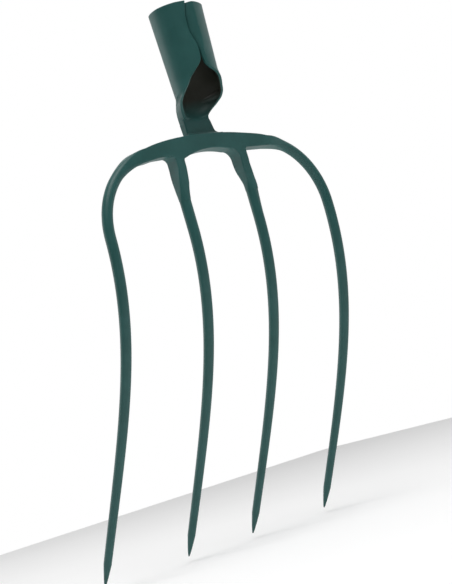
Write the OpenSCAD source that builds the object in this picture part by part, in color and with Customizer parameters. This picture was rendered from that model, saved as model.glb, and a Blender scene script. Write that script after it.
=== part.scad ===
// Four-tine fork head: a rolled, open-seam handle socket that runs out into a
// flat neck, an arched crown and four long curved round tines.
//
// The origin is the centre of the socket's mouth. +Z points out of the mouth,
// towards the handle, +X is the width of the fork, and the tines sweep to +Y.

/* [Socket] */
// Outside diameter of the socket at its mouth
socket_od = 40; // [36:0.5:46]
// Thickness of the rolled socket plate
socket_wall = 2.2; // [1.8:0.1:3]
// Length of the rolled socket, from its mouth to the neck
socket_len = 72; // [64:1:90]
// How much narrower the socket gets, in diameter per 100 mm of length
socket_taper = 7.2; // [5:0.1:9]
// Length of the parallel bore inside the mouth
land_len = 15; // [12:1:18]
// Width of the open seam at the mouth
seam_gap = 0.6; // [0.4:0.1:1.2]
// Width of the open seam where it reaches the throat opening
seam_gap_low = 1.6; // [1:0.1:2.4]
// How far the seam is turned away from the middle of the front, in degrees
seam_turn = 13; // [0:1:20]
// Diameter of the nail hole in the back of the socket
nail_d = 5; // [4:0.5:6]
// Distance of the nail hole from the mouth
nail_drop = 24; // [20:1:34]

/* [Throat opening] */
// Distance from the mouth to the pointed top of the throat opening
throat_top = 47; // [42:1:50]
// How far the opening runs past the socket's outside where it is widest
throat_margin = 1; // [0.6:0.1:1.6]
// Distance from the neck joint up to where the opening is widest
throat_rise = 4; // [2:0.5:8]

/* [Neck] */
// Length of the neck, from the socket to the top of the crown
neck_len = 23.5; // [20:0.5:28]
// Width of the neck
neck_w = 24; // [20:0.5:28]
// Thickness of the neck
neck_th = 6.4; // [5:0.1:8]
// Length over which the socket's trough runs out onto the neck
trough_len = 11; // [8:0.5:13]
// Radius of the hollow where the neck meets the front of the crown
neck_fillet_r = 5; // [3:0.5:6]

/* [Crown] */
// Height of the crown bar at its middle
crown_h = 13; // [11:0.5:16]
// Height of the bar where the bows start
bow_h = 9; // [8:0.5:10]
// Thickness of the crown, front to back
crown_th = 11.6; // [10:0.1:14]
// How far the back of the crown lies inside the back of the socket
crown_set = 1.4; // [0:0.1:2]
// Share of a bow over which its depth narrows to the tine's
arm_narrow = 0.6; // [0.4:0.05:1]
// Half width between the centrelines of the shoulders
shoulder_x = 110.5; // [100:0.5:120]
// Radius of the bows, on the centreline
bow_r = 55; // [45:1:60]
// Slope of the bar where the bows start, in degrees
bow_slope = 6; // [2:0.5:9]
// Height of the arch under the bar, from its ends to its middle
arch_rise = 4.5; // [3:0.5:6]
// How far the arch cuts into the bar at its middle
arch_cut = 1.5; // [0.5:0.5:3]
// Radius of the hollows between the stubs and the bar
stub_fillet_r = 6; // [4:0.5:8]
// Width of a stub
stub_w = 8.4; // [8:0.1:9]
// Thickness of a stub where it leaves the crown
stub_th = 11; // [9.5:0.1:12]
// How much thicker a stub's end is than the tine welded to it
weld_step = 0.3; // [0.1:0.1:0.6]
// Length of a stub, from the middle line of the bar to the weld
stub_len = 39; // [34:1:46]

/* [Tines] */
// Half distance between the inner tines at the crown
inner_x = 33.5; // [28:0.5:38]
// Half distance between the points of the inner tines
inner_tip_x = 34.3; // [28:0.1:42]
// Half distance between the points of the outer tines
outer_tip_x = 117; // [100:0.5:130]
// Diameter of a tine at its root
tine_d = 8.1; // [7:0.1:9]
// Diameter of a tine where its point starts
tine_low_d = 6; // [5:0.1:7]
// Width of the blunt end of a point
point_d = 1.2; // [0.8:0.1:2]
// Length of a point
point_len = 14; // [10:1:20]
// Height of a tine's curve, from the shoulder down to the tip
tine_drop = 233; // [190:1:280]
// How far the tips sweep backwards from the crown
tine_sweep = 107; // [80:1:130]
// Slope of a tine at its tip, in degrees from the socket's axis
tip_slope = 33; // [25:0.5:38]

/* [Hidden] */
$fn = 96;

paint = [0.20, 0.31, 0.31];
paint_light = [0.26, 0.38, 0.37];
paint_dark = [0.16, 0.26, 0.26];

cut = 1;              // how far a cutting solid runs past what it cuts
edge_r = 0.8;         // corner radius of the forged rectangular sections
corner_steps = 4;     // points on each quarter of a swept section
arm_steps = 16;       // rings along one arm
stub_steps = 8;       // rings along one stub
straight_steps = 2;   // rings along the straight root of an inner tine
curve_steps = 34;     // rings along a tine's curve
point_steps = 7;      // rings along a point
root_pull = 0.333;    // share of the curve over which a tine stays straight at its root
tip_pull = 0.41;      // share of the curve over which a tine straightens at its tip
point_bulge = 0.7;    // below 1, the sides of a point are bowed outwards
stub_square = 0.5;    // share of a stub that stays rectangular

// Socket: outside radius at a height z (z is negative below the mouth).
mouth_r = socket_od / 2;
slope = socket_taper / 200;
function outer_r(z) = mouth_r + slope * z;
// The land's wall is as thick as the plate at its lower end.
land_r = outer_r(-land_len) - socket_wall;
socket_end = -socket_len;
opening_z = socket_end + throat_rise;
throat_half_w = outer_r(opening_z) + throat_margin;

// Neck and crown: the levels and faces that the pieces share.
back_y = outer_r(socket_end);
neck_front = back_y - neck_th;
trough_end = socket_end - trough_len;
// Where the neck's back corners come out of the socket's round outside.
corner_y = sqrt(back_y * back_y - neck_w * neck_w / 4);
crown_top = socket_end - neck_len;
crown_back = back_y - crown_set;
crown_y = crown_back - crown_th / 2;
bar_z = crown_top - crown_h / 2;

// Bow: the bar's middle line falls along a parabola to the start of the bow,
// which is an arc about bow_c that ends at the shoulder, heading straight down.
bow_c_x = shoulder_x - bow_r;
bow_x = bow_c_x + bow_r * sin(bow_slope);
bar_fall = bow_x * tan(bow_slope) / 2;
bow_c_z = bar_z - bar_fall - bow_r * cos(bow_slope);
shoulder_z = bow_c_z;

function bar_mid(x) = bar_z - bar_fall * pow(x / bow_x, 2);
function bar_angle(x) = -bow_slope * x / bow_x;
// Half height of the bar: full at the middle, bow_h at the bows.
function bar_half(x) = let (u = abs(x) / bow_x) (crown_h + (bow_h - crown_h) * u * u) / 2;
function bar_edge(x, side) =
    [x - side * bar_half(x) * sin(bar_angle(x)), bar_mid(x) + side * bar_half(x) * cos(bar_angle(x))];
// The hollows outside the stubs end on the bar, short of the lower corner of its end.
outer_hollow_r = min(stub_fillet_r, bar_edge(bow_x, -1)[0] - inner_x - stub_w / 2);

// The tines' side view is one cubic curve from the shoulder level to the tip.
stub_end = bar_z - stub_len;
tip_y = crown_y + tine_sweep;
tip_z = shoulder_z - tine_drop;
root_handle = tine_drop * root_pull;
tip_handle = tine_drop * tip_pull;
tine_side = [[crown_y, shoulder_z], [crown_y, shoulder_z - root_handle],
             [tip_y - tip_handle * tan(tip_slope), tip_z + tip_handle], [tip_y, tip_z]];

function bezier(p, t) =
    pow(1 - t, 3) * p[0] + 3 * t * pow(1 - t, 2) * p[1] + 3 * t * t * (1 - t) * p[2] + pow(t, 3) * p[3];
function mix(a, b, t) = a + (b - a) * t;
function unit(v) = v / norm(v);
function ease(t) = t * t * (3 - 2 * t);

// Centreline of a tine's curve: x_root at the shoulder level, x_tip at the tip.
function tine_point(x_root, x_tip, t) =
    let (p = bezier(tine_side, t)) [mix(x_root, x_tip, (ease(t) + t) / 2), p[0], p[1]];

// A rounded rectangle of half width a, half height b and corner radius r, as
// one ring of points. With a = b = r it is a circle.
function section(a, b, r) =
    [for (corner = [0:3], i = [0:corner_steps - 1])
        let (turn = 90 * corner + (i + 0.5) * 90 / corner_steps,
             mid = 45 + 90 * corner)
        [sign(cos(mid)) * (a - r) + r * cos(turn), sign(sin(mid)) * (b - r) + r * sin(turn)]];

// A ring of a section about a centre: its first axis is u, its second is v, and
// u x v points back along the sweep.
function ring(centre, u, v, shape) = [for (p = shape) centre + p[0] * u + p[1] * v];

// A closed solid through a list of rings that all have the same number of points.
module skin(rings) {
    n = len(rings[0]);
    last = len(rings) - 1;
    points = [for (r = rings) for (p = r) p];
    sides = [for (k = [0:last - 1], i = [0:n - 1])
        let (j = (i + 1) % n)
        each [[k * n + i, k * n + j, (k + 1) * n + i], [k * n + j, (k + 1) * n + j, (k + 1) * n + i]]];
    start_cap = [for (i = [1:n - 2]) [0, i + 1, i]];
    end_cap = [for (i = [1:n - 2]) [last * n, last * n + i, last * n + i + 1]];
    polyhedron(points = points, faces = concat(sides, start_cap, end_cap));
}

// The space inside the socket: the parallel land, then the cone of the plate's inside.
module socket_hollow(low) {
    translate([0, 0, -land_len]) cylinder(r = land_r, h = land_len + cut);
    translate([0, 0, low])
        cylinder(r1 = outer_r(low) - socket_wall, r2 = land_r, h = -land_len - low);
}

// The pointed arch of the throat opening, cut through the front of the socket.
module throat() {
    apex_x = -outer_r(-throat_top) * sin(seam_turn);
    rise = -throat_top - opening_z;
    left_w = apex_x + throat_half_w;
    right_w = throat_half_w - apex_x;
    left_r = (rise * rise + left_w * left_w) / (2 * left_w);
    right_r = (rise * rise + right_w * right_w) / (2 * right_w);
    depth = mouth_r + cut;
    translate([0, -depth, opening_z]) rotate([-90, 0, 0]) intersection() {
        translate([left_r - throat_half_w, 0, 0]) cylinder(r = left_r, h = depth);
        translate([throat_half_w - right_r, 0, 0]) cylinder(r = right_r, h = depth);
        translate([-mouth_r, -mouth_r - throat_top, 0])
            cube([2 * mouth_r, mouth_r + throat_top + cut, depth]);
    }
    // Below its widest level the whole front is open down to the neck.
    translate([-mouth_r - cut, -depth, socket_end - neck_len])
        cube([2 * (mouth_r + cut), depth, opening_z - socket_end + neck_len]);
}

// The seam: a narrow slit that widens slowly from the mouth to the opening.
module seam() {
    rotate([0, 0, -seam_turn]) translate([0, 0, -throat_top - 2 * cut]) rotate([90, 0, 0])
        linear_extrude(height = mouth_r + cut) polygon([
            [-seam_gap_low / 2, 0], [seam_gap_low / 2, 0],
            [seam_gap / 2, throat_top + 3 * cut], [-seam_gap / 2, throat_top + 3 * cut]]);
}

module socket() {
    color(paint) difference() {
        translate([0, 0, socket_end])
            cylinder(r1 = outer_r(socket_end), r2 = mouth_r, h = socket_len);
        socket_hollow(socket_end - cut);
        throat();
        seam();
        translate([0, 0, -nail_drop]) rotate([-90, 0, 0]) cylinder(d = nail_d, h = mouth_r + cut);
    }
}

// Front outline of the crown bar, with its arched lower edge.
module bar_outline() {
    steps = 12;
    xs = [for (i = [-steps:steps]) bow_x * i / steps];
    polygon(concat([for (x = xs) bar_edge(x, 1)],
                   [for (i = [len(xs) - 1:-1:0]) bar_edge(xs[i], -1)]));
}

// The corner of a right angle, filled with a hollow of radius r.
module hollow_corner(x, z, r, side) {
    difference() {
        translate([min(x, x + side * r), z - r]) square([r, r + cut]);
        translate([x + side * r, z - r]) circle(r = r);
    }
}

// Front outline of the bar with the hollows that lead into the stubs.
module crown_outline() {
    low_in = bar_edge(inner_x - stub_w / 2, -1)[1];
    low_out = bar_edge(inner_x + stub_w / 2, -1)[1];
    difference() {
        union() {
            bar_outline();
            for (side = [-1, 1]) {
                hollow_corner(side * (inner_x - stub_w / 2), low_in, stub_fillet_r, -side);
                hollow_corner(side * (inner_x + stub_w / 2), low_out, outer_hollow_r, side);
            }
        }
        arch();
    }
}

// The arch under the bar, an arc between the two inner hollows.
module arch() {
    half = inner_x - stub_w / 2 - stub_fillet_r;
    base = bar_edge(0, -1)[1];
    r = (half * half + arch_rise * arch_rise) / (2 * arch_rise);
    intersection() {
        translate([0, base + arch_cut - r]) circle(r = r);
        translate([-half, base - arch_rise]) square([2 * half, 2 * arch_rise]);
    }
}

module crown_bar() {
    translate([0, crown_back, 0]) rotate([90, 0, 0])
        linear_extrude(height = crown_th) crown_outline();
}

// One stub: rectangular at the bar, and worked down to a round at the weld.
module stub(x) {
    top = bar_mid(x);
    skin([for (i = [0:stub_steps])
        let (s = i / stub_steps, t = pow(max(0, s - stub_square) / (1 - stub_square), 1.5),
             a = mix(stub_w, tine_d + weld_step, t) / 2,
             b = mix(stub_th, tine_d + weld_step, s) / 2)
        ring([x, crown_y, mix(top, stub_end, s)], [1, 0, 0], [0, 1, 0],
             section(a, b, mix(edge_r, a, t)))]);
}

module crown() {
    color(paint) union() {
        crown_bar();
        for (side = [-1, 1]) stub(side * inner_x);
    }
}

module neck() {
    color(paint_light) difference() {
        union() {
            // The flat shank, whose back corners rise out of the socket's round back.
            translate([-neck_w / 2, 0, 0]) rotate([90, 0, 90]) linear_extrude(height = neck_w)
                polygon([[neck_front, bar_z], [back_y, bar_z], [back_y, socket_end - neck_th],
                         [corner_y, socket_end], [neck_front, socket_end]]);
            // The back of the socket, which runs on into the shank.
            intersection() {
                translate([0, 0, trough_end])
                    cylinder(r1 = outer_r(trough_end), r2 = back_y, h = trough_len);
                translate([0, mouth_r, 0]) rotate([90, 0, 0]) linear_extrude(height = mouth_r)
                    polygon([[-back_y, socket_end], [back_y, socket_end],
                             [neck_w / 2, trough_end], [-neck_w / 2, trough_end]]);
            }
            // The hollow that leads from the shank to the front of the crown.
            difference() {
                translate([-neck_w / 2, neck_front - neck_fillet_r, bar_z])
                    cube([neck_w, neck_fillet_r + cut, neck_fillet_r + crown_top - bar_z]);
                translate([-neck_w / 2 - cut, neck_front - neck_fillet_r, crown_top + neck_fillet_r])
                    rotate([0, 90, 0]) cylinder(r = neck_fillet_r, h = neck_w + 2 * cut);
            }
        }
        // The hollow of the socket ends in a round bottom on the shank.
        translate([0, 0, socket_end]) sphere(r = back_y - socket_wall);
        // The front edges of the trough fall back from the socket to the shank.
        translate([-mouth_r, 0, 0]) rotate([90, 0, 90]) linear_extrude(height = 2 * mouth_r)
            polygon([[-cut, socket_end + cut], [0, socket_end + cut], [0, socket_end],
                     [neck_front, trough_end], [-cut, trough_end]]);
        crown_bar();
    }
}

// One arm: the bow from the end of the bar to the shoulder. Its section turns
// from the bar's rectangle to the round of the tine.
module arm(side) {
    skin([for (i = [0:arm_steps])
        let (s = i / arm_steps, turn = mix(bow_slope, 90, s),
             t = ease(s), narrow = ease(min(1, s / arm_narrow)),
             centre = [side * (bow_c_x + bow_r * sin(turn)), crown_y, bow_c_z + bow_r * cos(turn)],
             across = [side * sin(turn), 0, cos(turn)],
             a = mix(bow_h, tine_d, t) / 2, b = mix(crown_th, tine_d, narrow) / 2)
        ring(centre, side * across, [0, 1, 0], section(a, b, mix(edge_r, min(a, b), t)))]);
}

module left_arm() { color(paint_light) arm(-1); }
module right_arm() { color(paint_dark) arm(1); }

// Radius of a tine at a share t of its curve: it tapers more and more towards
// the point, which then closes along a quarter of an ellipse.
point_t = 1 - point_len / norm([tine_drop, tine_sweep]);
function tine_r(t) =
    t <= point_t ? mix(tine_d, tine_low_d, pow(t / point_t, 2)) / 2
                 : let (u = (t - point_t) / (1 - point_t))
                   mix(point_d, tine_low_d, pow(1 - u, point_bulge)) / 2;

// One tine: an optional straight root below the stub, the curve, and the point.
module tine(x_root, x_tip, top) {
    straight = top - shoulder_z;    // none on an outer tine, which starts at the shoulder
    curve = concat([for (i = [0:curve_steps]) point_t * i / curve_steps],
                   [for (i = [1:point_steps]) mix(point_t, 1, i / point_steps)]);
    roots = straight > edge_r
        ? [for (i = [0:straight_steps - 1])
            ring([x_root, crown_y, top - straight * i / straight_steps], [1, 0, 0], [0, 1, 0],
                 section(tine_d / 2, tine_d / 2, tine_d / 2))]
        : [];
    bends = [for (t = curve)
        let (centre = tine_point(x_root, x_tip, t),
             before = tine_point(x_root, x_tip, t - 0.001),
             after = tine_point(x_root, x_tip, min(t + 0.001, 1)),
             ahead = t <= 0 ? [0, 0, -1] : unit(after - before),
             v = unit(cross([1, 0, 0], ahead)), u = cross(ahead, v), r = tine_r(t))
        ring(centre, u, v, section(r, r, r))];
    skin(concat(roots, bends));
}

module outer_left_tine() { color(paint) tine(-shoulder_x, -outer_tip_x, shoulder_z); }
module inner_left_tine() { color(paint) tine(-inner_x, -inner_tip_x, stub_end); }
module inner_right_tine() { color(paint) tine(inner_x, inner_tip_x, stub_end); }
module outer_right_tine() { color(paint) tine(shoulder_x, outer_tip_x, shoulder_z); }

socket();
neck();
crown();
left_arm();
right_arm();
outer_left_tine();
inner_left_tine();
inner_right_tine();
outer_right_tine();
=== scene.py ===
"""A four-tine fork head: rolled socket, flat neck, arched crown, two bows and four tines.

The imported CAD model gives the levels, faces and centre lines. Each CAD node is replaced by a
finer mesh of the same piece, in one green paint. Shapes are worked out in millimetres in the
model's own frame (+Z out of the socket's mouth, +X the width, the tines sweeping to +Y).
"""
import bisect
import math

import bmesh
import bpy
import numpy as np
from mathutils import Matrix, Vector


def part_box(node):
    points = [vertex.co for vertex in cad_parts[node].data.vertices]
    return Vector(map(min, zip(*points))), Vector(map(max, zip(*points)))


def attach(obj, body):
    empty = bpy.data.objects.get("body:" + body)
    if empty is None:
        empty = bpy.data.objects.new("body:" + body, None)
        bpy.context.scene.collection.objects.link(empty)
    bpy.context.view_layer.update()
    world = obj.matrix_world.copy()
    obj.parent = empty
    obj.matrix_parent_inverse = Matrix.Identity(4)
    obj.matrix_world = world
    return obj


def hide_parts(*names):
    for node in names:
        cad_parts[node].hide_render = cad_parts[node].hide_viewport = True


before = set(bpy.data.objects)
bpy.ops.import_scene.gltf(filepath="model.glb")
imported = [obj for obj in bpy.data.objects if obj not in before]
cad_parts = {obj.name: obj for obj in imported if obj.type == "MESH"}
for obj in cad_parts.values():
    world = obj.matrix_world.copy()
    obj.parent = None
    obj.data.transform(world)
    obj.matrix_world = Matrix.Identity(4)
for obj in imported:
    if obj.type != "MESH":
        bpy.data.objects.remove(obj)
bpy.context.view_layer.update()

MM = 0.001
BODY = "root"
# Sizes and places below are in millimetres unless they say otherwise, and angles in degrees.


# ---------------------------------------------------------------- sizes from the CAD model

def cad_box(node):
    """A CAD node's lowest and highest corner, in millimetres."""
    low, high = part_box(node)
    return np.array(low) / MM, np.array(high) / MM


SOCKET_LOW, SOCKET_HIGH = cad_box("socket")
NECK_HIGH = cad_box("neck")[1]
CROWN_LOW, CROWN_HIGH = cad_box("crown")
ARM_LOW, ARM_HIGH = cad_box("right_arm")
OUTER_LOW, OUTER_HIGH = cad_box("outer_right_tine")
INNER_LOW = cad_box("inner_right_tine")[0]

TINE_R = 4.05            # radius of a tine at its root
TINE_LOW_R = 3.0         # radius of a tine where its point starts
POINT_LEN = 14           # length of a point
POINT_R = 0.6            # half width of the CAD model's blunt end
TIP_SLOPE = math.radians(33)                # lean of a point towards +Y

MOUTH_R = SOCKET_HIGH[0]
SOCKET_END = SOCKET_LOW[2]
BACK_Y = NECK_HIGH[1]
CONE = (BACK_Y - MOUTH_R) / SOCKET_END      # growth of the socket's radius per mm of height
CROWN_TOP = CROWN_HIGH[2]
CROWN_FRONT = CROWN_LOW[1]
CROWN_BACK = CROWN_HIGH[1]
CROWN_Y = (CROWN_FRONT + CROWN_BACK) / 2
STUB_END = CROWN_LOW[2]
SHOULDER_Z = ARM_LOW[2]
SHOULDER_X = ARM_HIGH[0] - TINE_R
INNER_X = INNER_LOW[0] + TINE_R
TIP_Y = OUTER_HIGH[1] - POINT_R * math.cos(TIP_SLOPE)
TIP_Z = OUTER_LOW[2] + POINT_R * math.sin(TIP_SLOPE)
INNER_TIP_X = 34.3       # where the points of the inner and the outer tines end
OUTER_TIP_X = 117

PLATE = 2.2              # thickness of the socket's plate
LAND_LEN = 15            # length of the parallel bore
LAND_R = MOUTH_R + CONE * -LAND_LEN - PLATE


# ---------------------------------------------------------------- small maths

def mix(a, b, t):
    return a + (b - a) * t


def clamp(t):
    return min(1.0, max(0.0, t))


def ease(t):
    t = clamp(t)
    return t * t * (3 - 2 * t)


def polar(angle, radius):
    """A point at an angle from the back (+Y), turning towards +X."""
    turn = math.radians(angle)
    return np.array([radius * math.sin(turn), radius * math.cos(turn)])


def soft_min(a, b, soft=0.35):
    """The smaller of two lengths, with a smooth passage between them."""
    return -soft * math.log(math.exp(-a / soft) + math.exp(-b / soft))


def unit(v):
    return v / np.linalg.norm(v)


class Curve:
    """A smooth value over height, through (height, value) stops listed from the top down.

    Past its first and last stop it keeps their values.
    """

    def __init__(self, *stops):
        self.at = [-z for z, _ in stops]
        self.value = [v for _, v in stops]
        steps = [(self.value[i + 1] - self.value[i]) / (self.at[i + 1] - self.at[i])
                 for i in range(len(stops) - 1)]
        self.slope = [0.0] * len(stops)
        for i in range(1, len(stops) - 1):
            if steps[i - 1] * steps[i] > 0:
                self.slope[i] = 2 * steps[i - 1] * steps[i] / (steps[i - 1] + steps[i])

    def __call__(self, z):
        s = min(max(-z, self.at[0]), self.at[-1])
        i = min(max(bisect.bisect_right(self.at, s) - 1, 0), len(self.at) - 2)
        span = self.at[i + 1] - self.at[i]
        t = (s - self.at[i]) / span
        return (self.value[i] * (1 + 2 * t) * (1 - t) ** 2 + self.value[i + 1] * t * t * (3 - 2 * t)
                + span * (self.slope[i] * t * (1 - t) ** 2 - self.slope[i + 1] * t * t * (1 - t)))


def bezier(points, t):
    """A point at share t of the way along the curve that four points steer."""
    a, b, c, d = points
    return a * (1 - t) ** 3 + 3 * b * t * (1 - t) ** 2 + 3 * c * t * t * (1 - t) + d * t ** 3


# ---------------------------------------------------------------- mesh helpers

SHARP = math.radians(38)            # edges that fold more than this stay sharp
SAME_POINT = 1e-7                   # metres


def add_ring(mesh, points):
    return [mesh.verts.new(Vector(p) * MM) for p in points]


def loft(mesh, rings):
    """Quads between rings of points that all have the same number of points."""
    rows = [add_ring(mesh, ring) for ring in rings]
    count = len(rows[0])
    for upper, lower in zip(rows, rows[1:]):
        for i in range(count):
            j = (i + 1) % count
            mesh.faces.new((upper[i], upper[j], lower[j], lower[i]))
    return rows


def strip(mesh, rows):
    """Quads between open rows of points."""
    lines = [add_ring(mesh, row) for row in rows]
    for upper, lower in zip(lines, lines[1:]):
        for i in range(len(upper) - 1):
            mesh.faces.new((upper[i], upper[i + 1], lower[i + 1], lower[i]))
    return lines


def new_piece(name, mesh, node, paint):
    """Turns a bmesh into a smooth-shaded piece that stands for one CAD node."""
    bmesh.ops.remove_doubles(mesh, verts=mesh.verts, dist=SAME_POINT)
    bmesh.ops.recalc_face_normals(mesh, faces=mesh.faces)
    for edge in mesh.edges:
        edge.smooth = len(edge.link_faces) == 2 and edge.calc_face_angle(0) < SHARP
    for face in mesh.faces:
        face.smooth = True
    data = bpy.data.meshes.new(name)
    mesh.to_mesh(data)
    mesh.free()
    piece = bpy.data.objects.new(name, data)
    bpy.context.scene.collection.objects.link(piece)
    data.materials.append(paint)
    normals = piece.modifiers.new("flat faces", "WEIGHTED_NORMAL")
    normals.keep_sharp = True
    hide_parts(node)
    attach(piece, BODY)
    return piece


# ---------------------------------------------------------------- socket and neck

RIGHT, LEFT = 1, -1

# Angle from the back at which each wing of the rolled plate ends: the seam, then the throat.
EDGE_ANGLE = {
    RIGHT: Curve((0, 196.5), (-4, 199), (-9, 202.5), (-15, 204.2), (-22, 204), (-27, 200),
                 (-31, 195.6), (-34, 193.4), (-38, 191.5), (-45, 189), (-47.3, 187), (-50, 179.5),
                 (-52, 168), (-54, 154), (-56, 139.5), (-58.5, 124), (-62, 110), (-66, 103),
                 (-69.5, 96), (-73.5, 81), (-76.7, 64.5), (-80, 52), (-84, 46)),
    LEFT: Curve((0, 162), (-4, 159.5), (-9, 156), (-15, 154.2), (-22, 154.2), (-27, 158),
                (-31, 162.4), (-34, 164.6), (-38, 165), (-44, 163), (-47, 157.5), (-51.5, 142.5),
                (-56, 126.5), (-59.5, 118), (-62, 110.5), (-66, 98), (-69.5, 86), (-73.5, 74),
                (-76.7, 62), (-80, 52), (-84, 46)),
}
# How far the wings flare out from the cone at their edges. Below them the plate folds in.
FLARE = {
    RIGHT: Curve((-50, 0), (-54, 0.4), (-58, 1.3), (-62, 2.5), (-66, 3.1), (-69.5, 2.4),
                 (-73.5, 0.4), (-76.7, -0.9), (-80, -1.6), (-84, -0.3)),
    LEFT: Curve((-54, 0), (-58, 0.5), (-62, 1), (-66, 1.6), (-69.5, 1.4), (-73.5, 0.3),
                (-76.7, -0.9), (-80, -1.6), (-84, -0.3)),
}
# How far the seam lies inside the cone, and the width of the plate's flat margin beside it.
SEAM_DEPTH = {
    RIGHT: Curve((0, 2), (-22, 2.3), (-28, 2), (-34, 1.4), (-46, 0.2), (-50, 0)),
    LEFT: Curve((0, 0.3), (-30, 0.3), (-46, 0)),
}
MARGIN = Curve((0, 3.8), (-4, 4.8), (-11, 6.7), (-21, 6.9), (-27, 5.4), (-32, 2.9), (-38, 1.9),
               (-46, 1.5))
# The right wing stands proud of the cone along the ridge beside its margin.
RIDGE = Curve((0, 1.1), (-36, 1.3), (-48, 0.3), (-54, 0))
RIDGE_SPAN = 34                     # degrees
BULGE = 0.55                        # the rolled tube is this much out of round on its left
BULGE_AT = 60                       # degrees from the back
BULGE_SPAN = 60                     # degrees to each side, where the bulge has faded out
# How the cut mouth of the socket leans, by the negated angle from the back.
RIM_LEAN = {
    RIGHT: Curve((-80, 0), (-142, -2.2), (-160, -1.8), (-180, -1.4), (-204, -1.2)),
    LEFT: Curve((-70, 0), (-100, 0.5), (-135, 0.5), (-156, 0.2)),
}
RIM_FADE = 12                       # the lean fades out this far below the mouth
# Where the cheek, the flat side that leads to the neck, meets the round outside.
CHEEK_TOP = -62
CREASE_ANGLE = Curve((CHEEK_TOP, 87), (-64, 84), (-65, 77), (-66, 65), (-67, 52), (-68.5, 41),
                     (-70, 34.6))
FLAT_FROM = -62.5                   # the cheek turns from round to flat between these levels
FLAT_FULL = -65
CHEEK_SPAN = 32                     # degrees of the wing kept for the cheek above CHEEK_TOP
# Share of the way from the round back to the neck's square one, up to an angle from the back.
SQUARE = Curve((-56, 0), (-61, 0.06), (-65, 0.22), (-68, 0.5), (-71, 0.76), (-74, 0.93), (-78, 1))
SQUARE_TO = 50
SQUARE_FADE = 15                    # degrees over which it fades out before SQUARE_TO
EDGE_THICK = Curve((-62, PLATE), (-76, PLATE), (-80, 1.6), (-84, 0.85))

NECK_W = 12                         # half width of the neck
NECK_THICK = 6.4
NECK_FRONT = BACK_Y - NECK_THICK
NECK_LEVEL = -84                    # the neck is a plain flat bar below this level
FOOT_TOP = CROWN_TOP + 1.3          # level where the hollows at the neck's foot meet the crown
NECK_SUNK = 3                       # how far the neck's end runs down into the crown
NECK_JOIN = 5                       # the plate's edges turn into the bar's over this height
NECK_EDGE = 0.6                     # chamfer on the neck's front edges
# How far each side of the neck spreads towards the crown, and the radius of its last hollow.
FOOT = {RIGHT: (4.6, 4.2), LEFT: (0.2, 1.2)}
SPREAD_FROM = -74                   # the spreading starts at this level
FRONT_HOLLOW = 3                    # radius of the hollow at the foot of the neck's front
TROUGH_FROM = -53                   # below this the bore's section turns into the trough's
TROUGH_BLEND = 20                   # over this height
# The least wall left under the trough, and where the trough's bottom lies.
THIN_WALL = Curve((-60, 1.6), (SOCKET_END, 1.1), (-78, 0.8), (NECK_LEVEL, 0.3))
TROUGH = Curve((SOCKET_END, BACK_Y - PLATE), (NECK_LEVEL, NECK_FRONT))
NECK_BACK = Curve((-78, BACK_Y), (CROWN_TOP + 0.5, CROWN_BACK + 0.1),
                  (CROWN_TOP - 2, CROWN_BACK - 0.6))
FLARE_FROM = 50                     # the flare fades out at this angle from the back

OUTER_POINTS = 44                   # points along the round outside of a wing, and along its cheek
CHEEK_POINTS = 11
ROUND = 0.45                        # reach of the rounding along the plate's edges
LIP_TURNS = (90, 60, 30)            # degrees at which the rounding of the mouth's edge has rings
# Stretches of the socket with their number of rings: close together along the throat.
SOCKET_STRETCHES = ((-ROUND, -33, 14), (-33, -45, 10), (-45, SOCKET_END, 60))
NECK_STRETCHES = ((SOCKET_END, NECK_LEVEL, 24), (NECK_LEVEL, FOOT_TOP + 3, 10),
                  (FOOT_TOP + 3, FOOT_TOP, 12))
TINY = 0.01                         # keeps a division away from zero


def cone_r(z):
    return MOUTH_R + CONE * z


def bore_r(z):
    return LAND_R if z > -LAND_LEN else cone_r(z) - PLATE


def plate_offset(z, side, angle):
    """How far the plate's middle lies outside the cone at an angle from the back."""
    edge = EDGE_ANGLE[side](z)
    width = math.degrees(MARGIN(z) / cone_r(z))
    ridge = edge - width
    sunk = clamp((angle - ridge) / width)
    if side == RIGHT:
        rise = RIDGE(z) * clamp((min(angle, ridge) - ridge + RIDGE_SPAN) / RIDGE_SPAN) ** 2
    else:
        rise = 0
        sunk = sunk * sunk
    flare = 0
    if edge > FLARE_FROM:
        flare = FLARE[side](z) * ease((angle - FLARE_FROM) / (edge - FLARE_FROM))
    if side == LEFT:
        flare += BULGE * max(0, math.cos(math.pi / 2 * (angle - BULGE_AT) / BULGE_SPAN)) ** 2
    return flare + rise - (SEAM_DEPTH[side](z) + rise) * sunk


def outer_point(z, side, angle):
    """A point on the outside, between the round of the cone and the square of the neck."""
    back = NECK_BACK(z)
    square = min(back / max(math.cos(math.radians(angle)), TINY),
                 neck_half(z, side) / max(math.sin(math.radians(angle)), TINY))
    share = SQUARE(z) * (1 - ease((angle - SQUARE_TO + SQUARE_FADE) / SQUARE_FADE))
    return polar(angle, mix(cone_r(z) + plate_offset(z, side, angle), square, share))


def rim_lean(z, side, x, y):
    """Height added near the mouth, whose cut edge isn't quite square to the socket."""
    if z < -RIM_FADE:
        return 0
    return RIM_LEAN[side](-math.degrees(math.atan2(x, y)) % -360) * (1 + z / RIM_FADE) ** 2


def neck_half(z, side):
    """Half the neck's width, without the hollow at its foot."""
    return NECK_W + FOOT[side][0] * clamp((SPREAD_FROM - z) / (SPREAD_FROM - CROWN_TOP))


def foot(z, side):
    """Half width and front face of the neck, which spreads in small hollows onto the crown's top."""
    half = neck_half(z, side) + hollow_reach(z, FOOT[side][1])
    return half, NECK_FRONT - hollow_reach(z, FRONT_HOLLOW)


def hollow_reach(z, radius):
    """How far a quarter-round hollow on the crown's top reaches out at a height."""
    rise = clamp((FOOT_TOP + radius - z) / radius)
    return radius * (1 - math.sqrt(1 - rise * rise))


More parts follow.
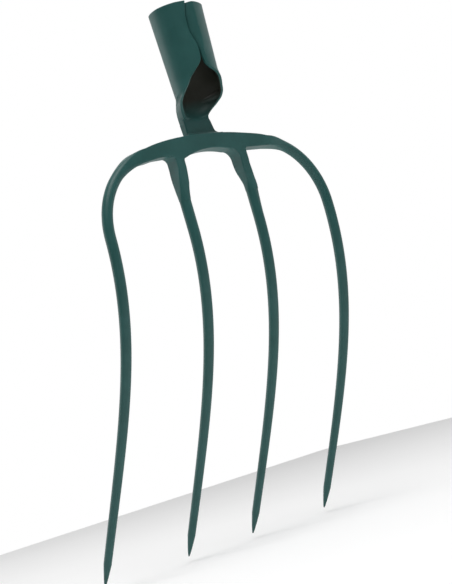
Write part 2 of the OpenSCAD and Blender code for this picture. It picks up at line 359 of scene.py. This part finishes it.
def wing_corners(z, side, inset):
    """The neck's back corner, and the outer and inner corner of the plate's edge, from above.

    The back corner is there only on the plain bar. Above it the crease takes its place.
    """
    half, front = foot(z, side)
    bar = np.array([half, front + NECK_EDGE]), np.array([half - NECK_EDGE, front])
    if z <= NECK_LEVEL:
        return np.array([half, NECK_BACK(z)]), *bar
    edge = EDGE_ANGLE[side](z)
    radius = cone_r(z) + plate_offset(z, side, edge)
    land = bore_r(z) - cone_r(z) + PLATE
    plate = polar(edge, radius - inset), polar(edge, radius - EDGE_THICK(z) + land + inset)
    share = ease((NECK_LEVEL + NECK_JOIN - z) / NECK_JOIN)
    return None, mix(plate[0], bar[0], share), mix(plate[1], bar[1], share)


def rounded(before, corner, after):
    """Three points that round a corner between the directions of two neighbours."""
    start = corner + unit(before - corner) * min(ROUND, np.linalg.norm(before - corner) / 2)
    end = corner + unit(after - corner) * min(ROUND, np.linalg.norm(after - corner) / 2)
    return [start, start / 4 + corner / 2 + end / 4, end]


def bar_outside(corner, mid):
    """The plain bar's back and side, from the middle of the back to its front corner."""
    back = [np.array([corner[0] * i / OUTER_POINTS, corner[1]]) for i in range(OUTER_POINTS)]
    return back, corner, [mix(corner, mid, t / CHEEK_POINTS) for t in range(1, CHEEK_POINTS)]


def rolled_outside(z, side, mid, inset):
    """A wing's round outside, crease and cheek, from the middle of the back to its edge."""
    edge = EDGE_ANGLE[side](z)
    bend = CREASE_ANGLE(z)
    if z >= CHEEK_TOP:
        bend = max(edge - CHEEK_SPAN, bend)
    bend = min(bend, edge - 1)
    flat = clamp((FLAT_FROM - z) / (FLAT_FROM - FLAT_FULL))
    outer = [outer_point(z, side, bend * i / OUTER_POINTS) for i in range(OUTER_POINTS)]
    crease = outer_point(z, side, bend)
    cheek = []
    for t in range(1, CHEEK_POINTS):
        share = t / CHEEK_POINTS
        arc = outer_point(z, side, mix(bend, edge, share))
        cheek.append(mix(arc, mix(crease, mid, share), flat))
    outer = [drawn_in(p, inset) for p in outer]
    cheek = [drawn_in(p, inset) for p in cheek]
    return outer, drawn_in(crease, inset), cheek


def drawn_in(point, inset):
    return point - unit(point) * inset


def half_ring(z, side, inset=0.0):
    """One wing's outline, from the middle of the back round the edge to the inside of the back."""
    corner, mid, inner = wing_corners(z, side, inset)
    if z <= NECK_LEVEL:
        outer, crease, cheek = bar_outside(corner, mid)
    else:
        outer, crease, cheek = rolled_outside(z, side, mid, inset)
    inside = inside_path(z, side, outer + [crease] + cheek + [mid], inner, inset)
    path = outer + rounded(outer[-1], crease, cheek[0]) + cheek
    path += rounded(cheek[-1], mid, inner) + rounded(mid, inner, inside[0]) + inside
    return [np.array([side * x, y, z + rim_lean(z, side, x, y)]) for x, y in path]


def inside_path(z, side, outside, inner, inset):
    """The inside of the plate, from its edge back to the middle of the trough."""
    count = OUTER_POINTS + CHEEK_POINTS + 1
    edge = EDGE_ANGLE[side](z)
    shares = [1 - (i + 1) / count for i in range(count)]
    if z <= NECK_LEVEL:
        return [np.array([inner[0] * s, inner[1]]) for s in shares]
    turn = math.radians(edge)
    bottom = (TROUGH(z) if z < SOCKET_END else bore_r(z)) + inset
    trough = ease((TROUGH_FROM - z) / TROUGH_BLEND)
    angles = np.degrees([math.atan2(x, y) % (2 * math.pi) for x, y in outside])
    radii = [np.linalg.norm(p) for p in outside]
    path = []
    for s in shares:
        point = polar(edge * s, bore_r(z) + plate_offset(z, side, edge * s) + inset)
        if trough > 0:
            depth = (math.cos(turn * s) - math.cos(turn)) / (1 - math.cos(turn))
            width = inner[0] * math.sin(turn * s) / math.sin(turn)
            arc = np.array([width, mix(inner[1], bottom, depth)])
            point = mix(point, arc, trough)
            angle = math.degrees(math.atan2(point[0], point[1]))
            room = float(np.interp(angle, angles, radii)) - THIN_WALL(z)
            point = unit(point) * soft_min(np.linalg.norm(point), room)
        path.append(point)
    return path


def full_ring(z, inset=0.0):
    """Both wings, clockwise seen from above: out along the right one and back along the left."""
    return half_ring(z, RIGHT, inset) + half_ring(z, LEFT, inset)[-2:0:-1]


def cap_plate(mesh, row, half):
    """Closes a ring of the plate with quads between its outside and its inside."""
    count = len(row)
    right = row[:half]
    left = [row[0]] + [row[count - i] for i in range(1, half - 1)] + [row[half - 1]]
    for wing in (right, left):
        for i in range(half // 2 - 1):
            corners = (wing[i], wing[i + 1], wing[half - 2 - i], wing[half - 1 - i])
            mesh.faces.new(corners)


def levels(start, end, count):
    """Evenly spaced values from start up to, but without, end."""
    return [mix(start, end, i / count) for i in range(count)]


def stretched(stretches):
    return [z for stretch in stretches for z in levels(*stretch)]


def mouth_rings():
    """Rings over the rounded edge of the mouth, from the rim down."""
    turns = [math.radians(turn) for turn in LIP_TURNS]
    return [full_ring(-ROUND * (1 - math.sin(a)), ROUND * (1 - math.cos(a))) for a in turns]


def plate_piece(name, node, heights, first_rings, paint):
    mesh = bmesh.new()
    rows = loft(mesh, first_rings + [full_ring(z) for z in heights])
    half = len(half_ring(heights[0], RIGHT))
    cap_plate(mesh, rows[0], half)
    cap_plate(mesh, rows[-1], half)
    return new_piece(name, mesh, node, paint)


def make_socket(paint):
    heights = stretched(SOCKET_STRETCHES) + [SOCKET_END]
    piece = plate_piece("rolled_socket", "socket", heights, mouth_rings(), paint)
    drill_nail_hole(piece)
    return piece


def make_neck(paint):
    heights = stretched(NECK_STRETCHES)
    heights += [FOOT_TOP, CROWN_TOP - NECK_SUNK / 2, CROWN_TOP - NECK_SUNK]
    return plate_piece("neck_shank", "neck", heights, [], paint)


# ---------------------------------------------------------------- nail hole

NAIL_Z = -24
NAIL_R = 2.5
NAIL_CHAMFER = 0.4
DRILL_IN = 6                        # the drill reaches this far inwards from the cone's surface
DRILL_OUT = 1                       # and this far outwards, widening with the chamfer
DRILL_SIDES = 48


def drill_nail_hole(piece):
    """Cuts the nail hole, with a small chamfer at its rim, through the back of the socket."""
    wall = cone_r(NAIL_Z)
    steps = [(wall - DRILL_IN, NAIL_R), (wall - NAIL_CHAMFER, NAIL_R),
             (wall + DRILL_OUT, NAIL_R + NAIL_CHAMFER + DRILL_OUT)]
    mesh = bmesh.new()
    turns = [2 * math.pi * i / DRILL_SIDES for i in range(DRILL_SIDES)]
    rows = loft(mesh, [[(r * math.cos(a), y, NAIL_Z + r * math.sin(a)) for a in turns]
                       for y, r in steps])
    mesh.faces.new(rows[0])
    mesh.faces.new(rows[-1])
    bmesh.ops.recalc_face_normals(mesh, faces=mesh.faces)
    data = bpy.data.meshes.new("drill")
    mesh.to_mesh(data)
    mesh.free()
    drill = bpy.data.objects.new("drill", data)
    bpy.context.scene.collection.objects.link(drill)
    cut = piece.modifiers.new("nail hole", "BOOLEAN")
    cut.operation = "DIFFERENCE"
    cut.solver = "EXACT"
    cut.object = drill
    piece.modifiers.move(len(piece.modifiers) - 1, 0)
    with bpy.context.temp_override(object=piece, active_object=piece):
        bpy.ops.object.modifier_apply(modifier="nail hole")
    bpy.data.objects.remove(drill)


# ---------------------------------------------------------------- crown

CROWN_H = 13                # height of the bar at its middle
BOW_H = 9                   # height of the bar where the bows start
BOW_SLOPE = math.radians(6)     # slope of the bar there
BOW_R = 55                  # radius of a bow's centre line
FORGED_EDGE = 0.9           # radius of the long edges of the crown
EDGE_STEPS = 5
TOP_STEPS = 80              # along the crown's top
UNDER_STEPS = 24            # along each stretch of its underside
HOLLOW_STEPS = 8            # round each hollow beside a stub
STUB_SIDE_STEPS = 6         # down a stub's side to STUB_TOP
STUB_END_STEPS = 24         # from there down to the weld
STUB_TOP = -118             # the stubs start to turn round below this level
WELD_STEP = 0.15            # a stub's end is this much deeper than half its tine
STUB_THINS = 0.85           # how the depth (below 1: early) and the square corners (above 1: late)
STUB_ROUNDS = 1.6           # of the bar give way down the stub's end
ARCH_RISE = 2.58            # height of the arch's middle above the drawn underside
ARCH_CURVE = {LEFT: 0.0072, RIGHT: 0.0062}      # and how fast it falls away, per mm squared

# The bar was forged unevenly: how far its top and its underside lie off the drawn outline, by
# the distance to the left of its middle.
TOP_RISE = Curve((90, 0), (74, 0.2), (62, 0.7), (50, 1.4), (38, 1.6), (14, 1.4), (-10, 0.9),
                 (-24, 0.5), (-36, 0), (-54, -0.5), (-62, -1.1))
LOW_RISE = Curve((60, 0), (50, 1), (38, 1), (30, 0), (-62, 0))
# So were the stubs: the hollows on the left and right of each, and where its sides run, by height.
HOLLOWS = {LEFT: (4.5, 2), RIGHT: (8, 2)}
STUB_SIDE = {
    (LEFT, LEFT): Curve((-100, -36.1), (-117, -36.1), (-121, -36.7), (-127, -37.4),
                        (-135, -37.9), (-141, -38.2)),
    (LEFT, RIGHT): Curve((-100, -27.9), (-128, -28.2), (-134, -29.1), (-141, -29.3)),
    (RIGHT, LEFT): Curve((-100, 27.4), (-122, 27.4), (-126, 27.9), (-130, 29), (-135, 29.9),
                         (-141, 29.4)),
    (RIGHT, RIGHT): Curve((-100, 35), (-120, 35.3), (-126, 36.4), (-132, 37.6), (-138, 39.3),
                          (-141, 39.5)),
}

# The centre of a bow, the end of the bar, and the bar's middle line with its fall towards it.
BOW_C_X = SHOULDER_X - BOW_R
BOW_X = BOW_C_X + BOW_R * math.sin(BOW_SLOPE)
BAR_Z = CROWN_TOP - CROWN_H / 2
BAR_FALL = BOW_X * math.tan(BOW_SLOPE) / 2
BOW_C_Z = BAR_Z - BAR_FALL - BOW_R * math.cos(BOW_SLOPE)


def bar_edge(x, side):
    """A point on the top (1) or bottom (-1) edge of the bar, and the way it faces."""
    share = x / BOW_X
    half = mix(CROWN_H, BOW_H, share * share) / 2
    half += TOP_RISE(-x) if side == 1 else -LOW_RISE(-x)
    tilt = BOW_SLOPE * share
    middle = np.array([x, BAR_Z - BAR_FALL * share * share])
    facing = side * np.array([math.sin(tilt), math.cos(tilt)])
    return middle + half * facing, facing


def with_facing(points, start, end):
    """Pairs each point of an outline with its facing, 90 degrees left of its direction."""
    pairs = []
    for i, point in enumerate(points):
        ahead = points[min(i + 1, len(points) - 1)] - points[max(i - 1, 0)]
        pairs.append((point, unit(np.array([-ahead[1], ahead[0]]))))
    pairs[0] = (points[0], np.array(start))
    pairs[-1] = (points[-1], np.array(end))
    return pairs


def hollow(corner, radius, side):
    """A quarter circle between the bar's underside and one side of a stub, from the bar down."""
    centre = corner + np.array([side * radius, -radius])
    return [centre + radius * np.array([-side * math.sin(a), math.cos(a)])
            for a in (math.pi / 2 * i / HOLLOW_STEPS for i in range(HOLLOW_STEPS + 1))]


def underside(x):
    """Height of the bar's underside: the arch between the stubs, the bar's edge outside them."""
    if abs(x) > INNER_X:
        return bar_edge(x, -1)[0][1]
    return BAR_Z - CROWN_H / 2 + ARCH_RISE - ARCH_CURVE[LEFT if x < 0 else RIGHT] * x * x


def crown_rails():
    """The crown's outline as four open lines, clockwise from the left end of the top."""
    top = [bar_edge(mix(-BOW_X, BOW_X, i / TOP_STEPS), 1) for i in range(TOP_STEPS + 1)]
    right_bow, left_bow = bar_edge(BOW_X, -1), bar_edge(-BOW_X, -1)
    right_stub = [stub_side(RIGHT, RIGHT), stub_side(RIGHT, LEFT)]
    left_stub = [stub_side(LEFT, RIGHT), stub_side(LEFT, LEFT)]
    return [top,
            under_rail([], right_bow, right_stub[0], None),
            under_rail(right_stub[1], None, left_stub[0], None),
            under_rail(left_stub[1], None, [], left_bow)]


def stub_side(stub, side):
    """One side of a stub, from the hollow's start on the underside down to STUB_TOP."""
    radius = HOLLOWS[stub][0 if side == LEFT else 1]
    run = STUB_SIDE[stub, side]
    start = run(STUB_TOP) + side * radius
    bend = hollow(np.array([run(STUB_TOP), underside(start)]), radius, side)
    bend = [p + np.array([run(p[1]) - run(STUB_TOP), 0]) for p in bend]
    heights = levels(bend[-1][1], STUB_TOP, STUB_SIDE_STEPS)[1:] + [STUB_TOP]
    return bend + [np.array([run(z), z]) for z in heights]


def under_rail(rise, start, fall, end):
    """A line to the left along the underside.

    It comes up a stub's side (rise) or starts at a bow, and goes down one (fall) or ends at a bow.
    """
    first = rise[::-1] if rise else [start[0]]
    last = fall if fall else [end[0]]
    xs = [mix(first[-1][0], last[0][0], i / UNDER_STEPS) for i in range(1, UNDER_STEPS)]
    points = first + [np.array([x, underside(x)]) for x in xs] + last
    return with_facing(points, (-1, 0) if rise else start[1], (1, 0) if fall else end[1])


def edge_profile():
    """Inset and depth of the crown's outline from its front face to its back face."""
    steps = [(j + 0.5) * math.pi / 2 / EDGE_STEPS for j in range(EDGE_STEPS)]
    front = [(FORGED_EDGE * (1 - math.sin(a)), CROWN_FRONT + FORGED_EDGE * (1 - math.cos(a)))
             for a in steps]
    back = [(inset, CROWN_FRONT + CROWN_BACK - y) for inset, y in reversed(front)]
    return front + back


def section(a, b, r):
    """A ring in its own plane: half sizes a and b, with corners of radius r."""
    ring = []
    for sx, sy, first in ((1, 1, 0), (-1, 1, 90), (-1, -1, 180), (1, -1, 270)):
        for j in range(EDGE_STEPS):
            turn = math.radians(first + (j + 0.5) * 90 / EDGE_STEPS)
            ring.append((sx * (a - r) + r * math.cos(turn), sy * (b - r) + r * math.sin(turn)))
    return ring


WIDTH = np.array([1, 0, 0])
DEPTH = np.array([0, 1, 0])


def placed(ring, centre, across, depth):
    return [centre + u * across + v * depth for u, v in ring]


def make_crown(paint):
    mesh = bmesh.new()
    profile = edge_profile()
    loops = {0: [], len(profile) - 1: []}
    for rail in crown_rails():
        rows = []
        for inset, y in profile:
            rows.append([(p[0] - n[0] * inset, y, p[1] - n[1] * inset) for p, n in rail])
        lines = strip(mesh, rows)
        for k in loops:
            loops[k] += lines[k]
    for loop in loops.values():
        mesh.faces.new(loop)
    for side in (LEFT, RIGHT):
        add_stub(mesh, side)
        close_bar_end(mesh, side)
    return new_piece("crown_bar", mesh, "crown", paint)


def add_stub(mesh, stub):
    """The lower part of a stub, turning from the bar's rectangle to a round at the weld."""
    rings = []
    for i in range(STUB_END_STEPS + 1):
        s = i / STUB_END_STEPS
        z = mix(STUB_TOP, STUB_END, s)
        left, right = STUB_SIDE[stub, LEFT](z), STUB_SIDE[stub, RIGHT](z)
        a = (right - left) / 2
        b = mix((CROWN_BACK - CROWN_FRONT) / 2, TINE_R + WELD_STEP, s ** STUB_THINS)
        r = mix(FORGED_EDGE, min(a, b), s ** STUB_ROUNDS)
        centre = np.array([(left + right) / 2, CROWN_Y, z])
        rings.append(placed(section(a, b, r), centre, WIDTH, DEPTH))
    rows = loft(mesh, rings)
    mesh.faces.new(rows[-1])


def close_bar_end(mesh, side):
    """Closes the end of the bar with the first ring of the bow that meets it."""
    mesh.faces.new(add_ring(mesh, arm_rings(side, 1)[0]))


# ---------------------------------------------------------------- bows and tines

ROUND_BY = {LEFT: 0.42, RIGHT: 0.27}    # share of each bow where the bar's rectangle turns round
BOW_STEPS = 44
TINE_DROP = SHOULDER_Z - TIP_Z
ROOT_PULL = 0.333                   # share of the drop over which the root holds straight down
TIP_PULL = 0.41                     # share of it over which the point's slope holds
# The tines' curve seen from the side: its ends, and the two points that steer it.
TINE_SIDE = [np.array(p) for p in (
    (CROWN_Y, SHOULDER_Z), (CROWN_Y, SHOULDER_Z - ROOT_PULL * TINE_DROP),
    (TIP_Y - TIP_PULL * TINE_DROP * math.tan(TIP_SLOPE), TIP_Z + TIP_PULL * TINE_DROP),
    (TIP_Y, TIP_Z))]
POINT_FROM = 1 - POINT_LEN / math.hypot(TINE_DROP, TIP_Y - CROWN_Y)
TIP_R = 0.35
POINT_BULGE = 0.7                   # below 1, the point is fuller than a cone
ROOT_STEPS = 6
CURVE_STEPS = 70
POINT_STEPS = 16
LOOK_AHEAD = 0.002                  # share of a tine over which its direction is measured


def arm_rings(side, steps):
    """Rings from the end of the bar to the shoulder: the bar's rectangle becomes a round."""
    rings = []
    step = TOP_RISE(-side * BOW_X) / 2
    for i in range(steps + 1):
        s = i / steps
        turn = mix(BOW_SLOPE, math.pi / 2, s)
        rounding = ease(s / ROUND_BY[side])
        rise = step * (1 - rounding)
        radius = BOW_R + rise
        centre = np.array([side * (BOW_C_X + radius * math.sin(turn)), CROWN_Y,
                           BOW_C_Z + radius * math.cos(turn)])
        across = np.array([side * math.sin(turn), 0, math.cos(turn)])
        a = mix(BOW_H / 2, TINE_R, rounding) + rise
        b = mix((CROWN_BACK - CROWN_FRONT) / 2, TINE_R, rounding)
        ring = section(a, b, mix(FORGED_EDGE, min(a, b), rounding))
        rings.append(placed(ring, centre, across, DEPTH))
    return rings


def make_arm(name, node, side, paint):
    mesh = bmesh.new()
    rows = loft(mesh, arm_rings(side, BOW_STEPS))
    mesh.faces.new(rows[0])
    mesh.faces.new(rows[-1])
    return new_piece(name, mesh, node, paint)


def tine_point(root_x, tip_x, t):
    """A point on a tine's centre line, which splays outwards slowly at both ends."""
    y, z = bezier(TINE_SIDE, t)
    return np.array([mix(root_x, tip_x, (ease(t) + t) / 2), y, z])


def tine_radius(t):
    if t <= POINT_FROM:
        return mix(TINE_R, TINE_LOW_R, (t / POINT_FROM) ** 2)
    return mix(TIP_R, TINE_LOW_R, (1 - (t - POINT_FROM) / (1 - POINT_FROM)) ** POINT_BULGE)


# The lump that the weld left on the outer side of each inner tine, by height.
WELD_LUMP = {
    LEFT: Curve((-141, 0.65), (-160, 0.45), (-190, 0), (-400, 0)),
    RIGHT: Curve((-141, 1.95), (-145, 1.5), (-150, 0.9), (-155, 0.4), (-160, 0), (-400, 0)),
}


def swollen(ring, centre, lump):
    """Pushes the outer side of a ring out by lump."""
    reach = max(p[0] for p in ring) - centre[0]
    return [p + np.array([lump * max(0, p[0] - centre[0]) / reach, 0, 0]) for p in ring]


def root_rings(root_x, top):
    """The straight root of an inner tine, between its stub and the level of the shoulders."""
    centres = [np.array([root_x, CROWN_Y, z]) for z in levels(top, SHOULDER_Z, ROOT_STEPS)]
    circle = section(TINE_R, TINE_R, TINE_R)
    return [(centre, placed(circle, centre, WIDTH, DEPTH)) for centre in centres]


def curve_rings(root_x, tip_x):
    """The long curve and the point of a tine, square to its centre line."""
    shares = [POINT_FROM * i / CURVE_STEPS for i in range(CURVE_STEPS)]
    shares += [POINT_FROM + (1 - POINT_FROM) * math.sin(math.pi / 2 * i / POINT_STEPS)
               for i in range(POINT_STEPS + 1)]
    rings = []
    for t in shares:
        ahead = unit(tine_point(root_x, tip_x, min(t + LOOK_AHEAD, 1))
                     - tine_point(root_x, tip_x, max(t - LOOK_AHEAD, 0)))
        depth = unit(np.cross(WIDTH, ahead))
        across = np.cross(ahead, depth)
        r = tine_radius(t)
        centre = tine_point(root_x, tip_x, t)
        rings.append((centre, placed(section(r, r, r), centre, across, depth)))
    return rings


def make_tine(name, node, side, root_x, tip_x, top, paint):
    """A round tine: an inner one starts with a straight root and a weld lump below its stub."""
    mesh = bmesh.new()
    rings = curve_rings(root_x, tip_x)
    if top > SHOULDER_Z + 1:
        rings = root_rings(root_x, top) + rings
        rings = [(centre, swollen(ring, centre, WELD_LUMP[side](centre[2])))
                 for centre, ring in rings]
    rows = loft(mesh, [[(side * x, y, z) for x, y, z in ring] for _, ring in rings])
    mesh.faces.new(rows[0])
    mesh.faces.new(rows[-1])
    return new_piece(name, mesh, node, paint)


# ---------------------------------------------------------------- paint

def add_node(tree, kind, **inputs):
    node = tree.nodes.new(kind)
    for key, value in inputs.items():
        node.inputs[key.replace("_", " ")].default_value = value
    return node


PAINT_DARK = (0.019, 0.090, 0.083, 1)
PAINT_LIGHT = (0.026, 0.108, 0.101, 1)
# Dark brownish grey that takes the green's place on surfaces facing the socket's axis
BORE_TONE = (0.026, 0.027, 0.021, 1)
BORE_TONE_BELOW = 10                     # the dark grey starts this far below the socket's end, in mm,
BORE_TONE_ABOVE = 6                      # and is full this far above it


def noise(tree, where, scale, detail, roughness):
    """Noise over the object's own frame, with its scale in waves per metre."""
    node = add_node(tree, "ShaderNodeTexNoise", Scale=scale, Detail=detail, Roughness=roughness)
    tree.links.new(where.outputs["Object"], node.inputs["Vector"])
    return node.outputs["Fac"]


def paint_colour(tree, where):
    colour = tree.nodes.new("ShaderNodeValToRGB")
    dark, light = colour.color_ramp.elements
    dark.position, dark.color = 0.35, PAINT_DARK
    light.position, light.color = 0.68, PAINT_LIGHT
    tree.links.new(noise(tree, where, 45, 4, 0.55), colour.inputs["Fac"])
    return colour.outputs["Color"]


def darkened_in_bore(tree, where, coat):
    """The coat, with a dark brownish grey in its place on what faces the inside of the socket."""
    bore_tone = tree.nodes.new("ShaderNodeMix")
    bore_tone.data_type = "RGBA"
    bore_tone.inputs["B"].default_value = BORE_TONE
    tree.links.new(bore_mask(tree, where), bore_tone.inputs["Factor"])
    tree.links.new(coat, bore_tone.inputs["A"])
    return bore_tone.outputs["Result"]


def paint_bumps(tree, where):
    """Soft forging dents, with the orange peel of the paint on them."""
    dents = add_node(tree, "ShaderNodeBump", Strength=0.25, Distance=0.0006)
    peel = add_node(tree, "ShaderNodeBump", Strength=0.12, Distance=0.0001)
    tree.links.new(noise(tree, where, 70, 2, 0.5), dents.inputs["Height"])
    tree.links.new(noise(tree, where, 900, 2, 0.5), peel.inputs["Height"])
    tree.links.new(dents.outputs["Normal"], peel.inputs["Normal"])
    return peel.outputs["Normal"]


def make_paint(name, bore):
    """Satin green paint on forged steel, of uneven tone. With bore, it turns dark brownish grey in
    the socket.
    """
    paint = bpy.data.materials.new(name)
    paint.use_nodes = True
    tree = paint.node_tree
    shader = tree.nodes["Principled BSDF"]
    shader.inputs["Specular IOR Level"].default_value = 0.35
    where = tree.nodes.new("ShaderNodeTexCoord")
    coat = paint_colour(tree, where)
    if bore:
        coat = darkened_in_bore(tree, where, coat)
    rough = add_node(tree, "ShaderNodeMapRange", To_Min=0.40, To_Max=0.52)
    tree.links.new(noise(tree, where, 160, 3, 0.6), rough.inputs["Value"])
    tree.links.new(coat, shader.inputs["Base Color"])
    tree.links.new(rough.outputs["Result"], shader.inputs["Roughness"])
    tree.links.new(paint_bumps(tree, where), shader.inputs["Normal"])
    return paint


def vector_maths(tree, operation):
    node = tree.nodes.new("ShaderNodeVectorMath")
    node.operation = operation
    return node


def bore_mask(tree, where):
    """1 on surfaces that face the socket's axis, fading out down the trough."""
    link = tree.links.new
    flat = vector_maths(tree, "MULTIPLY")
    flat.inputs[1].default_value = (1, 1, 0)
    outward = vector_maths(tree, "NORMALIZE")
    facing = vector_maths(tree, "DOT_PRODUCT")
    surface = tree.nodes.new("ShaderNodeNewGeometry")
    inward = add_node(tree, "ShaderNodeMapRange", From_Min=0.0, From_Max=-0.5)
    split = tree.nodes.new("ShaderNodeSeparateXYZ")
    depth = add_node(tree, "ShaderNodeMapRange", From_Min=(SOCKET_END - BORE_TONE_BELOW) * MM,
                     From_Max=(SOCKET_END + BORE_TONE_ABOVE) * MM)
    both = tree.nodes.new("ShaderNodeMath")
    both.operation = "MULTIPLY"
    link(where.outputs["Object"], flat.inputs[0])
    link(flat.outputs["Vector"], outward.inputs[0])
    link(outward.outputs["Vector"], facing.inputs[0])
    link(surface.outputs["Normal"], facing.inputs[1])
    link(facing.outputs["Value"], inward.inputs["Value"])
    link(where.outputs["Object"], split.inputs["Vector"])
    link(split.outputs["Z"], depth.inputs["Value"])
    link(inward.outputs["Result"], both.inputs[0])
    link(depth.outputs["Result"], both.inputs[1])
    return both.outputs["Value"]


# ---------------------------------------------------------------- floor, light, camera

FLOOR_HALF = 1.1                    # metres; the light falls off further out
FLOOR_GAP = 4                       # height of the points above the floor, in mm
FLOOR_TONES = (0.95, 0.98)


def make_floor():
    mesh = bmesh.new()
    level = OUTER_LOW[2] * MM - FLOOR_GAP * MM
    ways = ((-1, -1), (1, -1), (1, 1), (-1, 1))
    mesh.faces.new([mesh.verts.new((FLOOR_HALF * x, FLOOR_HALF * y, level)) for x, y in ways])
    data = bpy.data.meshes.new("floor")
    mesh.to_mesh(data)
    mesh.free()
    floor = bpy.data.objects.new("floor", data)
    bpy.context.scene.collection.objects.link(floor)
    data.materials.append(floor_material())


def floor_material():
    pale = bpy.data.materials.new("pale floor")
    pale.use_nodes = True
    tree = pale.node_tree
    shader = tree.nodes["Principled BSDF"]
    shader.inputs["Roughness"].default_value = 0.9
    grain = add_node(tree, "ShaderNodeTexNoise", Scale=6, Detail=3)
    tones = tree.nodes.new("ShaderNodeValToRGB")
    for stop, tone in zip(tones.color_ramp.elements, FLOOR_TONES):
        stop.color = (tone, tone, tone, 1)
    tree.links.new(grain.outputs["Fac"], tones.inputs["Fac"])
    tree.links.new(tones.outputs["Color"], shader.inputs["Base Color"])
    return pale


SHADED_SIDE = (-0.7, -0.7, 0.05)    # the direction in which the studio is darkest
# Brightness of the studio, from the direction opposite that (0) round to it (1).
STUDIO_TONES = ((0.0, 1.0), (0.25, 0.95), (0.42, 0.42), (0.6, 0.2), (0.8, 0.08), (1.0, 0.03))


def studio_tones(tree):
    """The studio's light: a grey that depends only on the direction it comes from."""
    way = tree.nodes.new("ShaderNodeTexCoord")
    facing = vector_maths(tree, "DOT_PRODUCT")
    facing.inputs[1].default_value = Vector(SHADED_SIDE).normalized()
    share = add_node(tree, "ShaderNodeMapRange", From_Min=-1, From_Max=1)
    tones = tree.nodes.new("ShaderNodeValToRGB")
    while len(tones.color_ramp.elements) < len(STUDIO_TONES):
        tones.color_ramp.elements.new(0.5)
    for stop, (place, tone) in zip(tones.color_ramp.elements, STUDIO_TONES):
        stop.position = place
        stop.color = (tone, tone, tone, 1)
    tree.links.new(way.outputs["Generated"], facing.inputs[0])
    tree.links.new(facing.outputs["Value"], share.inputs["Value"])
    tree.links.new(share.outputs["Result"], tones.inputs["Fac"])
    return tones.outputs["Color"]


def make_world():
    """Soft studio, bright all round but darker on one side, with a plain white backdrop."""
    world = bpy.data.worlds.new("studio")
    bpy.context.scene.world = world
    world.use_nodes = True
    tree = world.node_tree
    light = tree.nodes["Background"]
    light.inputs["Strength"].default_value = 1.0
    backdrop = add_node(tree, "ShaderNodeBackground", Color=(1, 1, 1, 1), Strength=1.0)
    seen = tree.nodes.new("ShaderNodeLightPath")
    choose = tree.nodes.new("ShaderNodeMixShader")
    link = tree.links.new
    link(studio_tones(tree), light.inputs["Color"])
    link(seen.outputs["Is Camera Ray"], choose.inputs["Fac"])
    link(light.outputs["Background"], choose.inputs[1])
    link(backdrop.outputs["Background"], choose.inputs[2])
    link(choose.outputs["Shader"], tree.nodes["World Output"].inputs["Surface"])


LIGHT_TARGET = (0, 0, -0.2)         # metres, as are the places and sizes of the lights


def add_light(name, place, size, power):
    data = bpy.data.lights.new(name, "AREA")
    data.shape = "RECTANGLE"
    data.size, data.size_y = size
    data.energy = power
    light = bpy.data.objects.new(name, data)
    bpy.context.scene.collection.objects.link(light)
    light.location = place
    aim = Vector(LIGHT_TARGET) - Vector(place)
    light.rotation_euler = aim.to_track_quat("-Z", "Y").to_euler()


CAMERA_PLACE = (-816.28, -854.18, -298.82)
CAMERA_TURN = -42.646               # degrees about the upright axis, from looking along +Y
CAMERA_TILT = 94.214                # degrees from looking straight down: past 90 it looks up
CAMERA_ROLL = -16.122               # degrees about the line of sight
LENS = 100                          # mm, on a sensor of this width
SENSOR = 36


def make_camera():
    """The viewpoint: to the fork's front left and below its crown, with the picture rolled."""
    data = bpy.data.cameras.new("camera")
    data.sensor_width = SENSOR
    data.sensor_fit = "AUTO"
    data.lens = LENS
    camera = bpy.data.objects.new("camera", data)
    bpy.context.scene.collection.objects.link(camera)
    camera.matrix_world = (Matrix.Translation(Vector(CAMERA_PLACE) * MM)
                           @ Matrix.Rotation(math.radians(CAMERA_TURN), 4, "Z")
                           @ Matrix.Rotation(math.radians(CAMERA_TILT), 4, "X")
                           @ Matrix.Rotation(math.radians(CAMERA_ROLL), 4, "Z"))
    bpy.context.scene.camera = camera


# ---------------------------------------------------------------- build

paint = make_paint("green paint on forged steel", False)
socket_paint = make_paint("green paint, darkened inside the bore", True)
make_socket(socket_paint)
make_neck(socket_paint)
make_crown(paint)
make_arm("left_bow", "left_arm", LEFT, paint)
make_arm("right_bow", "right_arm", RIGHT, paint)
make_tine("outer_left_prong", "outer_left_tine", LEFT, SHOULDER_X, OUTER_TIP_X, SHOULDER_Z, paint)
make_tine("inner_left_prong", "inner_left_tine", LEFT, INNER_X, INNER_TIP_X, STUB_END, paint)
make_tine("inner_right_prong", "inner_right_tine", RIGHT, INNER_X, INNER_TIP_X, STUB_END, paint)
make_tine("outer_right_prong", "outer_right_tine", RIGHT, SHOULDER_X, OUTER_TIP_X, SHOULDER_Z, paint)

make_floor()
make_world()
add_light("overhead softbox", (-0.35, -0.6, 1.5), (1.2, 1.2), 27)
add_light("rear softbox", (-0.8, 1.4, 0.1), (0.8, 1.2), 5)
make_camera()
bpy.context.scene.view_settings.view_transform = "Standard"
